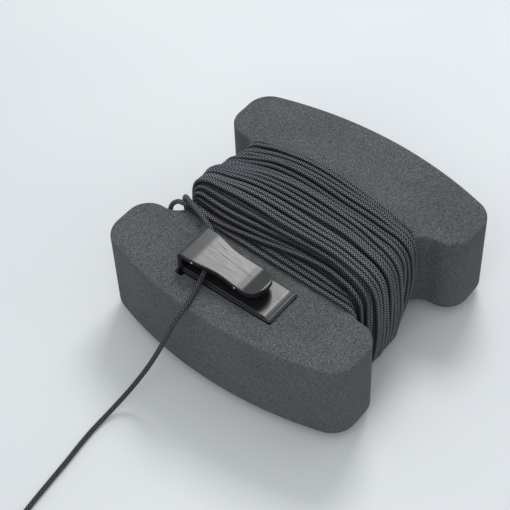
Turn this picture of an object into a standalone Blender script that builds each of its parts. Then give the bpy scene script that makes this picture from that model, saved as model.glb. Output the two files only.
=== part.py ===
"""Foam line winder: an H-shaped foam block with cord round its waist and a sprung cord clip.

X runs along the two flanges, Y across them, and +Z is up.  The origin lies on the surface that the
winder rests on, under the middle of the block.  The wound cord stands proud of the block all round,
so its flattened underside is at z = 0 and carries the block clear of the surface.
"""
import math

import bmesh
import bpy
import numpy as np

MM = 0.001

# Clearance between pieces that touch
GAP = 0.3 * MM

# Foam block
BLOCK_THICKNESS = 50.0 * MM
BLOCK_HALF_WIDTH = 76.5 * MM        # origin to the crown of a flange's outer face, along Y
FLANGE_HALF_LENGTH = 75.0 * MM      # origin to a flange's tip, along X
FLANGE_FACE_RADIUS = 221.0 * MM     # outer face's arc in plan
TIP_OUTER_RADIUS = 13.9 * MM
TIP_INNER_RADIUS = 12.5 * MM
FLANGE_WIDTH = 44.5 * MM            # crown of the outer face to the inner face, along Y
WAIST_HALF_LENGTH = 50.0 * MM       # origin to the notch's floor, along X
NOTCH_FILLET = 12.0 * MM
BLOCK_EDGE_CHAMFER = 0.8 * MM

# Cord and winding
CORD_DIAMETER = 2.5 * MM
WINDING_LIFT = 8.0 * MM             # block's underside above the flattened turns' underside
WINDING_CORNER_RADIUS = 3.0 * MM    # innermost turns' bend over the foam's edges
WINDING_END_BULGE = 0.6 * MM        # slack of the turns over the notch floors
WINDING_EDGE_CLEARANCE = 2.0 * MM   # first turn's edge to the clip's flange

WINDING_STEP_RUN = 0.2              # slope of a layer's edge, in cord diameters
FIRST_LAYER_RISE = 0.96             # in cord diameters, pressed on the foam
NEXT_LAYER_RISE = 0.78              # in cord diameters, sunk between the turns below

# Places round the waist where the layers' edges are given: each is a share of the waist's half
# length (+X end 1) and of its half thickness (top 1), in order from below, up the +X end
WINDING_PLACES = [(0, -1), (1, -1), (1, 1), (0.6, 1), (0, 1), (-0.6, 1), (-1, 1), (-1, -1)]

# Layers of the winding, innermost first: at each of those places the near edge, in cord diameters
# from the first layer's near edge, and the far edge, as a share of FLANGE_INNER_Y
WINDING_LAYERS = [
    ((0, 0, 0, 0, 0, 0, 0, 0),
     (0.82, 0.74, 0.89, 1.10, 1.24, 1.20, 0.93, 0.87)),
    ((1.5, 0.3, 0.5, 2.9, 3.1, 2.0, 2.3, 2.3),
     (0.73, 0.66, 0.82, 1.01, 1.10, 1.05, 0.82, 0.77)),
    ((2.7, 0.9, 1.3, 4.0, 4.3, 3.6, 4.1, 4.1),
     (0.65, 0.59, 0.73, 0.88, 0.94, 0.89, 0.66, 0.66)),
    ((3.9, 1.9, 2.3, 5.0, 5.7, 4.9, 5.1, 5.1),
     (0.52, 0.48, 0.59, 0.71, 0.77, 0.71, 0.43, 0.48)),
    ((5.5, 4.3, 4.7, 6.7, 7.8, 6.7, 6.0, 6.0),
     (0.32, 0.23, 0.34, 0.46, 0.49, 0.34, 0.06, 0.16)),
]

# Cord clip
CLIP_FROM_NOTCH = 5.5 * MM          # flange's inner face to the clip's side
CLIP_WIDTH = 22.0 * MM
CLIP_LEFT_X = -29.0 * MM            # outer face of the end wall
CLIP_LENGTH = 57.5 * MM
PLATE_SUNK = 0.7 * MM               # plate's underside below the foam's top face
PLATE_RISE_WALL = 2.5 * MM          # plate's top above the foam, at the end wall
PLATE_RISE_TOE = 1.5 * MM           # plate's top above the foam, at the toe
TOE_RADIUS = 1.6 * MM
WALL_THICKNESS = 2.7 * MM
BEND_RISE = 12.3 * MM               # top of the U-bend above the foam
BEND_OUTER_RADIUS = 2.4 * MM
BEND_INNER_RADIUS = 1.2 * MM
LEG_DEPTH = 12.0 * MM
LEG_THICKNESS = 2.7 * MM
BARB_REACH = 1.0 * MM
BARB_HEIGHT = 3.0 * MM
POCKET_CLEARANCE = 0.8 * MM

# Clip lever
LEVER_THICKNESS = 3.0 * MM
LEVER_PIVOT_X = 5.5 * MM            # from the end wall's outer face to the flexing root
LEVER_LENGTH = 42.3 * MM            # flexing root to the thumb tab's tip
LEVER_SIDE_INSET = 0.2 * MM         # lever's root inside the clip's side, each side
LEVER_WAISTING = 5.2 * MM           # waist narrower than the root
LEVER_TAB_SWELL = 0.8 * MM          # tab wider than the waist
LEVER_DROP = 3.2 * MM               # fall of the lever's top from its root to the tab
TAB_LENGTH = 8.8 * MM
TAB_FLARE = 1.4 * MM                # rise of the thumb tab's tip

# Stopper knot
KNOT_LENGTH = 8.5 * MM
KNOT_DIAMETER = 6.6 * MM
TAIL_LENGTH = 9.0 * MM

BLOCK_BOTTOM_Z = WINDING_LIFT
BLOCK_TOP_Z = WINDING_LIFT + BLOCK_THICKNESS
BLOCK_MIDDLE_Z = WINDING_LIFT + BLOCK_THICKNESS / 2
FLANGE_INNER_Y = BLOCK_HALF_WIDTH - FLANGE_WIDTH
WINDING_NEAR_Y = WINDING_EDGE_CLEARANCE - FLANGE_INNER_Y
CLIP_CENTRE_Y = -(FLANGE_INNER_Y + CLIP_FROM_NOTCH + CLIP_WIDTH / 2)
CORD_RADIUS = CORD_DIAMETER / 2
LEVER_ROOT_WIDTH = CLIP_WIDTH - 2 * LEVER_SIDE_INSET

# Places that the cord's routes are measured from
ANCHORS = {
    "notch": (-WAIST_HALF_LENGTH, -FLANGE_INNER_Y, BLOCK_TOP_Z),
    "clip": (CLIP_LEFT_X, CLIP_CENTRE_Y, BLOCK_TOP_Z + PLATE_RISE_WALL),
    "rim": (CLIP_LEFT_X, -BLOCK_HALF_WIDTH, BLOCK_TOP_Z),
    "floor": (CLIP_LEFT_X, -BLOCK_HALF_WIDTH, 0.0),
}

# The slack loop and the stretch under the lever, from the winding to the clip's near side: each
# part of the route is measured in mm from its anchor
BIGHT_ROUTE = {
    "notch": [
        (-2.6, 5.5, 2.9), (-5.8, 5.0, 3.0), (-8.3, 3.8, 1.6), (-10.0, 2.6, -2.2),
        (-10.3, 2.2, -8.0), (-10.4, 3.0, -14.4), (-10.2, 5.6, -18.1), (-9.6, 8.8, -19.1),
        (-8.8, 11.4, -16.6), (-8.3, 12.0, -11.8), (-7.7, 11.3, -6.6), (-7.2, 10.5, -2.2),
        (-6.2, 9.7, 1.6), (-4.4, 8.6, 4.3), (-1.6, 7.3, 5.3), (3.0, 5.7, 5.2), (8.5, 3.9, 5.0),
    ],
    "clip": [
        (-6.0, 18.1, 2.2), (0.0, 15.3, 1.9), (4.8, 10.5, 1.6), (8.6, 4.5, 1.5),
        (11.8, -2.0, 1.45), (14.7, -9.3, 1.4),
    ],
}

# The free lead, from the clip over the flange's edge and down to the surface
LEAD_ROUTE = {
    "clip": [(15.0, -10.2, 1.4), (16.0, -14.0, 0.7)],
    "rim": [
        (17.0, 9.5, 1.9), (18.0, 5.5, 1.6), (19.1, 0.5, 1.5), (19.2, -3.5, 0.0),
        (18.2, -7.5, -4.2), (16.3, -11.1, -11.4), (13.6, -14.9, -20.6),
    ],
    "floor": [
        (10.2, -19.5, 27.0), (6.6, -25.1, 17.6), (3.4, -31.9, 9.8), (1.1, -39.5, 4.6),
        (0.1, -47.5, 2.1), (0.2, -55.5, 1.6), (1.2, -65.5, 1.6), (2.5, -75.5, 1.6),
        (3.6, -85.5, 1.6), (4.7, -95.5, 1.6), (5.9, -105.5, 1.6), (7.4, -114.5, 1.9),
        (8.8, -121.5, 2.9),
    ],
}

MATERIALS = {
    # name: (sRGB hex, roughness, metallic)
    "foam": ("4A4B4E", 0.9, 0.0),
    "clip_plastic": ("1E1F22", 0.35, 0.0),
    "cord": ("2F3135", 0.75, 0.0),
}


def linear_rgba(hex_code):
    """Turn an sRGB hex code into linear RGBA."""
    channels = [int(hex_code[i:i + 2], 16) / 255 for i in (0, 2, 4)]
    linear = [c / 12.92 if c <= 0.04045 else ((c + 0.055) / 1.055) ** 2.4 for c in channels]
    return (*linear, 1.0)


def make_material(name):
    """Build one Principled BSDF material from the table above."""
    hex_code, roughness, metallic = MATERIALS[name]
    material = bpy.data.materials.new(name)
    material.use_nodes = True
    shader = material.node_tree.nodes["Principled BSDF"]
    shader.inputs["Base Color"].default_value = linear_rgba(hex_code)
    shader.inputs["Roughness"].default_value = roughness
    shader.inputs["Metallic"].default_value = metallic
    return material


def add_object(name, data, material_name=None):
    """Link new object data into the scene, with a material of its own."""
    obj = bpy.data.objects.new(name, data)
    bpy.context.scene.collection.objects.link(obj)
    if material_name:
        material = make_material(material_name)
        material.name = name + "_" + material_name
        obj.data.materials.append(material)
    return obj


def mesh_from(name, vertices, faces, smooth_degrees=35):
    """Make a closed mesh with outward normals, smooth but for its sharp edges."""
    mesh = bpy.data.meshes.new(name)
    mesh.from_pydata([tuple(map(float, v)) for v in vertices], [], faces)
    work = bmesh.new()
    work.from_mesh(mesh)
    bmesh.ops.remove_doubles(work, verts=work.verts, dist=1e-6)
    bmesh.ops.recalc_face_normals(work, faces=work.faces)
    work.to_mesh(mesh)
    work.free()
    mesh.shade_smooth()
    mesh.set_sharp_from_angle(angle=math.radians(smooth_degrees))
    return mesh


def ring_faces(rings, count, closed_ends=True):
    """Quads between successive rings of count vertices, with a face over each end ring."""
    faces = []
    for ring in range(rings - 1):
        for i in range(count):
            j = (i + 1) % count
            low, high = ring * count, (ring + 1) * count
            faces.append((low + i, low + j, high + j, high + i))
    if closed_ends:
        faces.append(tuple(range(count - 1, -1, -1)))
        faces.append(tuple(range((rings - 1) * count, rings * count)))
    return faces


def arc(centre, radius, start_degrees, end_degrees, steps):
    """Points along an arc, both ends included."""
    angles = np.radians(np.linspace(start_degrees, end_degrees, steps + 1))
    return np.column_stack([centre[0] + radius * np.cos(angles), centre[1] + radius * np.sin(angles)])


def without_repeats(points):
    """Drop each point that repeats the one before it, the first and last included."""
    keep = np.linalg.norm(points - np.roll(points, 1, axis=0), axis=1) > 0.02 * MM
    return points[keep]


def smoothstep(value):
    """Rise from 0 to 1 with level ends."""
    t = np.clip(value, 0.0, 1.0)
    return t * t * (3 - 2 * t)


# ---------------------------------------------------------------------------------- foam block

def waist_half_length(y):
    """Half the foam's length along X at a place across the waist, notch fillets included."""
    into_fillet = np.clip(np.abs(y) - (FLANGE_INNER_Y - NOTCH_FILLET), 0, NOTCH_FILLET)
    return WAIST_HALF_LENGTH + NOTCH_FILLET - np.sqrt(NOTCH_FILLET ** 2 - into_fillet ** 2)


def block_outline():
    """Plan of the block, anticlockwise: four mirrored quarters of tangent arcs."""
    face_centre_y = BLOCK_HALF_WIDTH - FLANGE_FACE_RADIUS
    tip_centre_x = FLANGE_HALF_LENGTH - TIP_OUTER_RADIUS
    reach = FLANGE_FACE_RADIUS - TIP_OUTER_RADIUS
    tip_centre_y = face_centre_y + math.sqrt(reach ** 2 - tip_centre_x ** 2)
    tangent_degrees = math.degrees(math.atan2(tip_centre_y - face_centre_y, tip_centre_x))
    fillet_centre = (WAIST_HALF_LENGTH + NOTCH_FILLET, FLANGE_INNER_Y - NOTCH_FILLET)
    inner_centre = (FLANGE_HALF_LENGTH - TIP_INNER_RADIUS, FLANGE_INNER_Y + TIP_INNER_RADIUS)
    quarter = np.vstack([
        arc(fillet_centre, NOTCH_FILLET, 180, 90, 8),
        arc(inner_centre, TIP_INNER_RADIUS, -90, 0, 8),
        arc((tip_centre_x, tip_centre_y), TIP_OUTER_RADIUS, 0, tangent_degrees, 8),
        arc((0, face_centre_y), FLANGE_FACE_RADIUS, tangent_degrees, 90, 7),
    ])
    half = np.vstack([quarter, quarter[::-1] * (-1, 1)])
    return without_repeats(np.vstack([half, half[::-1] * (1, -1)]))


def inset(outline, distance):
    """Move each point of an anticlockwise outline inwards along its normal."""
    along = np.roll(outline, -1, axis=0) - np.roll(outline, 1, axis=0)
    along /= np.linalg.norm(along, axis=1)[:, None]
    inward = np.column_stack([-along[:, 1], along[:, 0]])
    return outline + distance * inward


def make_box(name, low, high):
    """Axis-aligned box mesh between two corners."""
    corners = [(x, y, z) for x in (low[0], high[0]) for y in (low[1], high[1]) for z in (low[2], high[2])]
    faces = [(0, 1, 3, 2), (4, 6, 7, 5), (0, 4, 5, 1), (2, 3, 7, 6), (0, 2, 6, 4), (1, 5, 7, 3)]
    return mesh_from(name, corners, faces)


def clip_cutters():
    """Corners of the pocket for the clip's plate and of the slots for its two legs."""
    near_y = CLIP_CENTRE_Y - CLIP_WIDTH / 2 - POCKET_CLEARANCE
    far_y = CLIP_CENTRE_Y + CLIP_WIDTH / 2 + POCKET_CLEARANCE
    right_x = CLIP_LEFT_X + CLIP_LENGTH
    above_z = BLOCK_TOP_Z + PLATE_RISE_WALL
    floor_z = BLOCK_TOP_Z - PLATE_SUNK - GAP
    slot_z = BLOCK_TOP_Z - LEG_DEPTH - GAP
    slot_reach = LEG_THICKNESS + BARB_REACH + GAP
    slot_near_y = near_y - 2 * POCKET_CLEARANCE
    return {
        "plate_pocket": ((CLIP_LEFT_X - POCKET_CLEARANCE, near_y, floor_z),
                         (right_x + POCKET_CLEARANCE, far_y, above_z)),
        "wall_leg_slot": ((CLIP_LEFT_X - GAP, slot_near_y, slot_z),
                          (CLIP_LEFT_X + slot_reach, far_y, above_z)),
        "toe_leg_slot": ((right_x - slot_reach, near_y, slot_z), (right_x + GAP, far_y, above_z)),
    }


def build_foam_block():
    """Extruded H with chamfered edges, less the clip's pocket and slots."""
    outline = block_outline()
    inner = inset(outline, BLOCK_EDGE_CHAMFER)
    levels = [
        (inner, BLOCK_BOTTOM_Z),
        (outline, BLOCK_BOTTOM_Z + BLOCK_EDGE_CHAMFER),
        (outline, BLOCK_TOP_Z - BLOCK_EDGE_CHAMFER),
        (inner, BLOCK_TOP_Z),
    ]
    vertices = np.vstack([np.column_stack([plan, np.full(len(plan), z)]) for plan, z in levels])
    mesh = mesh_from("foam_block", vertices, ring_faces(len(levels), len(outline)))
    block = add_object("foam_block", mesh, "foam")
    for name, (low, high) in clip_cutters().items():
        cutter = add_object(name, make_box(name, low, high))
        cutter.hide_render = True
        cutter.display_type = "WIRE"
        cut = block.modifiers.new(name, "BOOLEAN")
        cut.operation = "DIFFERENCE"
        cut.solver = "EXACT"
        cut.object = cutter


# ------------------------------------------------------------------------------------ cord clip

def extrude_profile(name, profile, half_width, centre_y):
    """Carry an XZ profile straight across Y."""
    rings = [np.column_stack([profile[:, 0], np.full(len(profile), centre_y + side * half_width),
                              profile[:, 1]]) for side in (-1, 1)]
    return mesh_from(name, np.vstack(rings), ring_faces(2, len(profile)), smooth_degrees=30)


def lever_pivot():
    """X and Z of the flexing root's axis."""
    return CLIP_LEFT_X + LEVER_PIVOT_X, BLOCK_TOP_Z + BEND_RISE - LEVER_THICKNESS / 2


def clip_base_profile():
    """XZ outline: wall leg, end wall, U-bend with the root's seat, plate, rolled toe, toe leg."""
    left_x = CLIP_LEFT_X
    right_x = CLIP_LEFT_X + CLIP_LENGTH
    inner_x = left_x + WALL_THICKNESS
    under_z = BLOCK_TOP_Z - PLATE_SUNK
    leg_z = BLOCK_TOP_Z - LEG_DEPTH
    top_z = BLOCK_TOP_Z + BEND_RISE
    strap_z = top_z - LEVER_THICKNESS
    wall_plate_z = BLOCK_TOP_Z + PLATE_RISE_WALL
    toe_z = BLOCK_TOP_Z + PLATE_RISE_TOE
    pivot_x, pivot_z = lever_pivot()
    seat_radius = LEVER_THICKNESS / 2 + GAP
    lip_degrees = math.degrees(math.asin(LEVER_THICKNESS / 2 / seat_radius))
    barb_top_z = leg_z + BARB_HEIGHT
    points = [
        [(left_x, leg_z)],
        arc((left_x + BEND_OUTER_RADIUS, top_z - BEND_OUTER_RADIUS), BEND_OUTER_RADIUS, 180, 90, 6),
        arc((pivot_x, pivot_z), seat_radius, 180 - lip_degrees, 180 + lip_degrees, 8),
        arc((inner_x + BEND_INNER_RADIUS, strap_z - BEND_INNER_RADIUS), BEND_INNER_RADIUS, 90, 180, 4),
        [(inner_x, wall_plate_z)],
        arc((right_x - TOE_RADIUS, toe_z - TOE_RADIUS), TOE_RADIUS, 90, 0, 5),
        [(right_x, leg_z), (right_x - LEG_THICKNESS, leg_z)],
        [(right_x - LEG_THICKNESS - BARB_REACH, barb_top_z), (right_x - LEG_THICKNESS, barb_top_z)],
        [(right_x - LEG_THICKNESS, under_z), (left_x + LEG_THICKNESS, under_z)],
        [(left_x + LEG_THICKNESS, barb_top_z), (left_x + LEG_THICKNESS + BARB_REACH, barb_top_z)],
        [(left_x + LEG_THICKNESS, leg_z)],
    ]
    return np.vstack([np.asarray(part) for part in points])


def build_clip_base():
    """Plate with its end wall, U-bend and barbed legs, one moulding."""
    mesh = extrude_profile("clip_base", clip_base_profile(), CLIP_WIDTH / 2, CLIP_CENTRE_Y)
    add_object("clip_base", mesh, "clip_plastic")


def lever_stations():
    """Places along the lever, from the pivot: close at the round root and the round tab."""
    root_radius = LEVER_THICKNESS / 2
    root = -root_radius * np.cos(np.radians([8, 30, 60, 90]))
    shank = np.linspace(0, LEVER_LENGTH - TAB_LENGTH, 9)[1:]
    tab = LEVER_LENGTH - TAB_LENGTH * (1 - np.sin(np.radians([20, 40, 55, 67, 76, 83])))
    return np.concatenate([root, shank, tab])


def lever_half_width(along):
    """Half width: wide at the root, waisted at the middle, round over the tab."""
    waist_place = 0.45 * LEVER_LENGTH
    into_waist = smoothstep(along / waist_place)
    past_waist = smoothstep((along - waist_place) / (LEVER_LENGTH - TAB_LENGTH - waist_place))
    full = LEVER_ROOT_WIDTH - LEVER_WAISTING * into_waist + LEVER_TAB_SWELL * past_waist
    into_tab = np.clip((along - (LEVER_LENGTH - TAB_LENGTH)) / TAB_LENGTH, 0, 1)
    return full / 2 * np.sqrt(1 - into_tab ** 2)


def lever_top(along):
    """Height of the lever's top above the pivot's level line: it falls, then flares at the tab."""
    fall = LEVER_DROP * smoothstep(along / (LEVER_LENGTH - TAB_LENGTH))
    into_tab = np.clip((along - (LEVER_LENGTH - TAB_LENGTH)) / TAB_LENGTH, 0, 1)
    return LEVER_THICKNESS / 2 - fall + TAB_FLARE * into_tab ** 2


def build_clip_lever():
    """Lever as a row of rectangular sections; its object sits on the flexing axis."""
    along = lever_stations()
    half_width = lever_half_width(np.clip(along, 0, None))
    depth = np.where(along < 0, 2 * np.sqrt(np.clip((LEVER_THICKNESS / 2) ** 2 - along ** 2, 0, None)),
                     LEVER_THICKNESS)
    middle = lever_top(np.clip(along, 0, None)) - LEVER_THICKNESS / 2
    rings = []
    for x, w, d, m in zip(along, half_width, depth, middle):
        rings += [(x, -w, m - d / 2), (x, w, m - d / 2), (x, w, m + d / 2), (x, -w, m + d / 2)]
    mesh = mesh_from("clip_lever", rings, ring_faces(len(along), 4), smooth_degrees=30)
    lever = add_object("clip_lever", mesh, "clip_plastic")
    pivot_x, pivot_z = lever_pivot()
    lever.location = (pivot_x, CLIP_CENTRE_Y, pivot_z)


# ----------------------------------------------------------------------------------------- cord

def waist_loop(half_x, half_z, radius, steps=7):
    """Points and outward normals of a round-cornered rectangle in XZ, anticlockwise from +X."""
    corners = [(half_x - radius, half_z - radius), (radius - half_x, half_z - radius),
               (radius - half_x, radius - half_z), (half_x - radius, radius - half_z)]
    points, normals = [], []
    for turn, corner in enumerate(corners):
        curve = arc(corner, radius, 90 * turn, 90 * turn + 90, steps)
        facing = arc((0, 0), 1, 90 * turn, 90 * turn + 90, steps)
        next_start = np.array(corners[(turn + 1) % 4]) + radius * facing[-1]
        flat = curve[-1] + (next_start - curve[-1]) * np.linspace(0, 1, 9)[1:-1, None]
        points += [curve, flat]
        normals += [facing, np.repeat(facing[-1:], len(flat), axis=0)]
    return np.vstack(points), np.vstack(normals)


def round_the_waist(values, points):
    """Values given at WINDING_PLACES, spread over points by their bearing from straight down."""
    along, up = np.array(WINDING_PLACES).T
    places = np.degrees(np.arctan2(up * BLOCK_THICKNESS / 2, along * WAIST_HALF_LENGTH)) + 90
    bearing = (np.degrees(np.arctan2(points[:, 1], points[:, 0])) + 90) % 360
    return np.interp(bearing, [*(places % 360), 360], [*values, values[0]])


def winding_section(points):
    """The winding's stepped outline at points round the waist: (Y, height) from near to far edge.

    Each layer adds a step up after its near edge and the same step down before its far edge.
    """
    near_side, far_side = [], []
    height = FIRST_LAYER_RISE * CORD_DIAMETER / 2
    next_height = FIRST_LAYER_RISE * CORD_DIAMETER
    run = WINDING_STEP_RUN * CORD_DIAMETER
    for near, far in WINDING_LAYERS:
        near_y = WINDING_NEAR_Y + CORD_DIAMETER * round_the_waist(near, points)
        far_y = FLANGE_INNER_Y * round_the_waist(far, points)
        near_side += [(near_y, height), (near_y + run, next_height)]
        far_side += [(far_y, height), (far_y - run, next_height)]
        height, next_height = next_height, next_height + NEXT_LAYER_RISE * CORD_DIAMETER
    return near_side + far_side[::-1]


def winding_ring(radius, y, height):
    """One loop of the winding's surface round the waist, at a height over the foam.

    Below the block the layers are pressed flat, so that the outermost just reaches z = 0.
    """
    half_z = BLOCK_THICKNESS / 2
    points, normals = waist_loop(WAIST_HALF_LENGTH, half_z, radius)
    across, up = normals[:, 0], normals[:, 1]
    full_height = (FIRST_LAYER_RISE + NEXT_LAYER_RISE * (len(WINDING_LAYERS) - 1)) * CORD_DIAMETER
    pressed = 1 - (1 - WINDING_LIFT / full_height) * np.where(up < 0, up ** 2, 0)
    bulge = WINDING_END_BULGE * np.clip(1 - (points[:, 1] / half_z) ** 2, 0, 1) * across ** 2
    rise = height * pressed + bulge * height / full_height
    points = points + normals * rise[:, None]
    points[:, 0] += np.sign(points[:, 0]) * (waist_half_length(y) - WAIST_HALF_LENGTH) * across ** 2
    return np.column_stack([points[:, 0], y, BLOCK_MIDDLE_Z + points[:, 1]])


def build_wound_cord():
    """The winding as one closed ring of its outer shape, stepped where its layers end."""
    reference, _ = waist_loop(WAIST_HALF_LENGTH, BLOCK_THICKNESS / 2, WINDING_CORNER_RADIUS)
    section = winding_section(reference)
    rings = [winding_ring(WINDING_CORNER_RADIUS, y, height) for y, height in section]
    near_y, far_y = section[0][0], section[-1][0]
    rings += [winding_ring(BLOCK_EDGE_CHAMFER / 2, near_y + share * (far_y - near_y), GAP)
              for share in np.linspace(1, 0, 15)]
    count = len(reference)
    faces = ring_faces(len(rings), count, closed_ends=False)
    last = (len(rings) - 1) * count
    faces += [(last + i, last + (i + 1) % count, (i + 1) % count, i) for i in range(count)]
    add_object("wound_cord", mesh_from("wound_cord", np.vstack(rings), faces), "cord")


def smooth_route(route, spacing):
    """Points at an even spacing on the natural cubic spline through a route's points."""
    knots = np.vstack([np.array(ANCHORS[anchor]) + np.array(offsets) * MM
                       for anchor, offsets in route.items()])
    count = len(knots)
    place = np.concatenate([[0], np.cumsum(np.linalg.norm(np.diff(knots, axis=0), axis=1))])
    step = np.diff(place)
    slope = np.diff(knots, axis=0) / step[:, None]
    system = np.eye(count)
    target = np.zeros((count, 3))
    for i in range(1, count - 1):
        system[i, i - 1:i + 2] = step[i - 1], 2 * (step[i - 1] + step[i]), step[i]
        target[i] = 6 * (slope[i] - slope[i - 1])
    bend = np.linalg.solve(system, target)
    at = np.linspace(0, place[-1], max(2, round(place[-1] / spacing)) + 1)
    span = np.clip(np.searchsorted(place, at, side="right") - 1, 0, count - 2)
    before, after = (at - place[span])[:, None], (place[span + 1] - at)[:, None]
    width = step[span][:, None]
    return ((bend[span] * after ** 3 + bend[span + 1] * before ** 3) / (6 * width)
            + (knots[span] / width - bend[span] * width / 6) * after
            + (knots[span + 1] / width - bend[span + 1] * width / 6) * before)


def build_cord(name, points):
    """A round cord along its points, capped at both ends."""
    curve = bpy.data.curves.new(name, "CURVE")
    curve.dimensions = "3D"
    curve.bevel_depth = CORD_RADIUS
    curve.bevel_resolution = 2
    curve.use_fill_caps = True
    spline = curve.splines.new("POLY")
    spline.points.add(len(points) - 1)
    for point, place in zip(spline.points, points):
        point.co = (*place, 1.0)
    add_object(name, curve, "cord")


def build_end_knot(lead):
    """Stopper knot and sealed tail: a turned body in line with the lead's end."""
    direction = lead[-1] - lead[-2]
    direction[2] = 0
    direction /= np.linalg.norm(direction)
    side = np.array([-direction[1], direction[0], 0])
    knot_radius = KNOT_DIAMETER / 2
    bulb_angles = np.radians(np.linspace(155, 25, 8))
    along = KNOT_LENGTH / 2 * (1 + np.cos(bulb_angles))
    radius = knot_radius * np.sin(bulb_angles)
    tail_end = KNOT_LENGTH + TAIL_LENGTH
    along = np.concatenate([along, [tail_end - 0.5 * MM, tail_end]])
    radius = np.concatenate([radius, [CORD_RADIUS, 0.8 * CORD_RADIUS]])
    start = np.array([lead[-1][0], lead[-1][1], knot_radius]) + direction * (GAP - along[0])
    turn = np.radians(np.arange(0, 360, 30))
    rings = []
    for a, r in zip(along, radius):
        ring = r * (np.cos(turn)[:, None] * side + np.sin(turn)[:, None] * np.array([0, 0, 1]))
        rings.append(start + a * direction + ring)
    mesh = mesh_from("end_knot", np.vstack(rings), ring_faces(len(rings), len(turn)))
    add_object("end_knot", mesh, "cord")


def main():
    """Clear the scene and build every piece."""
    for old in list(bpy.data.objects):
        bpy.data.objects.remove(old, do_unlink=True)
    build_foam_block()
    build_clip_base()
    build_clip_lever()
    build_wound_cord()
    build_cord("cord_bight", smooth_route(BIGHT_ROUTE, 1.6 * CORD_DIAMETER))
    lead = smooth_route(LEAD_ROUTE, 2.4 * CORD_DIAMETER)
    build_cord("cord_lead", lead)
    build_end_knot(lead)


main()
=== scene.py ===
"""Foam line winder: an H-shaped foam block, braided cord wound round its waist, a spring clip."""
import math

import bpy
import numpy as np
from mathutils import Matrix, Vector
from mathutils.geometry import tessellate_polygon


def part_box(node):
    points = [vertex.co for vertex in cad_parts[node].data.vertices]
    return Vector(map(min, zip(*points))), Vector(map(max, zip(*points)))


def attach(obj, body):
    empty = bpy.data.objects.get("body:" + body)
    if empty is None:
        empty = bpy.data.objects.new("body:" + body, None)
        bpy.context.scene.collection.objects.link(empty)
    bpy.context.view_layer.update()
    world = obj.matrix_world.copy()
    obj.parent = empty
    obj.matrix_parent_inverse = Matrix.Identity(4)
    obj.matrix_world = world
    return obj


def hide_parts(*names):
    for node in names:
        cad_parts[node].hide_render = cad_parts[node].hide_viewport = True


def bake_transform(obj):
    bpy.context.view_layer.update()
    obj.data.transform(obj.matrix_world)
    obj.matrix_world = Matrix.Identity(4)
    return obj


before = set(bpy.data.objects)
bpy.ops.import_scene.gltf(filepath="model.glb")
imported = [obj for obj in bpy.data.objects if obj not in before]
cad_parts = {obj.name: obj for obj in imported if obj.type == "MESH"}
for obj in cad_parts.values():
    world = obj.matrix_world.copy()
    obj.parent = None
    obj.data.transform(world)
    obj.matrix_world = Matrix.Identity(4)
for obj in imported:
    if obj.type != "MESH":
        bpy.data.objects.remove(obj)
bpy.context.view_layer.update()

MM = 0.001
FOAM_LOW, FOAM_HIGH = (np.array(corner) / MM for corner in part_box("foam_block"))
CLIP_LOW, CLIP_HIGH = (np.array(corner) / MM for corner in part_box("clip_base"))
BOTTOM_Z, TOP_Z = FOAM_LOW[2], FOAM_HIGH[2]
MIDDLE_Z = (BOTTOM_Z + TOP_Z) / 2
CLIP_Y = (CLIP_LOW[1] + CLIP_HIGH[1]) / 2

# All sizes are in mm
CORD = 2.5               # free cord's diameter
WOUND_WIDTH = 2.5        # a wound turn, pressed flat by its neighbours
WOUND_HEIGHT = 2.4
YARNS = 3                # yarns of each hand round the cord
YARN_LAY = 3.4           # along the cord, for a yarn to move round by one place
# Witness lines on the lever's top: from x, to x, y at x = 0, and how y falls with x
MOULD_LINES = [(-19.6, 8.8, -47.0, -0.08), (-17.1, -10.4, -45.1, -0.195)]
MOULD_LINE_WIDTH = 0.26
MOULD_LINES_ABOVE = 62.5     # the lever's top lies higher than this, the plate's lower


# ------------------------------------------------------------------------------------- camera

def aim_camera(azimuth, elevation, roll, right, up, distance, lens):
    """Long lens looking down at the winder.

    Right and up slide the camera in its own plane, and distance backs it off, all in mm from the
    block's place on the resting surface.
    """
    a, e, r = (math.radians(value) for value in (azimuth, elevation, roll))
    back = np.array([math.sin(a) * math.cos(e), -math.cos(a) * math.cos(e), math.sin(e)])
    level = np.array([math.cos(a), math.sin(a), 0.0])
    upright = np.cross(back, level)
    x_axis = math.cos(r) * level + math.sin(r) * upright
    y_axis = -math.sin(r) * level + math.cos(r) * upright
    place = right * x_axis + up * y_axis + distance * back + (0, 0, BOTTOM_Z)
    matrix = np.eye(4)
    matrix[:3, :3] = np.column_stack([x_axis, y_axis, back])
    matrix[:3, 3] = place * MM
    data = bpy.data.cameras.new("camera")
    data.sensor_width, data.lens = 36.0, lens
    data.clip_start, data.clip_end = 0.05, 20.0
    camera = bpy.data.objects.new("camera", data)
    bpy.context.scene.collection.objects.link(camera)
    camera.matrix_world = Matrix(matrix.tolist())
    bpy.context.scene.camera = camera


aim_camera(azimuth=40.89, elevation=49.48, roll=-2.85, right=-23.65, up=16.40, distance=775.8,
           lens=103.5)


# ---------------------------------------------------------------------------------- materials

def linear(hex_code):
    """Turn an sRGB hex code into linear RGBA."""
    channels = [int(hex_code[i:i + 2], 16) / 255 for i in (0, 2, 4)]
    return (*[c / 12.92 if c <= 0.04045 else ((c + 0.055) / 1.055) ** 2.4 for c in channels], 1.0)


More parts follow.
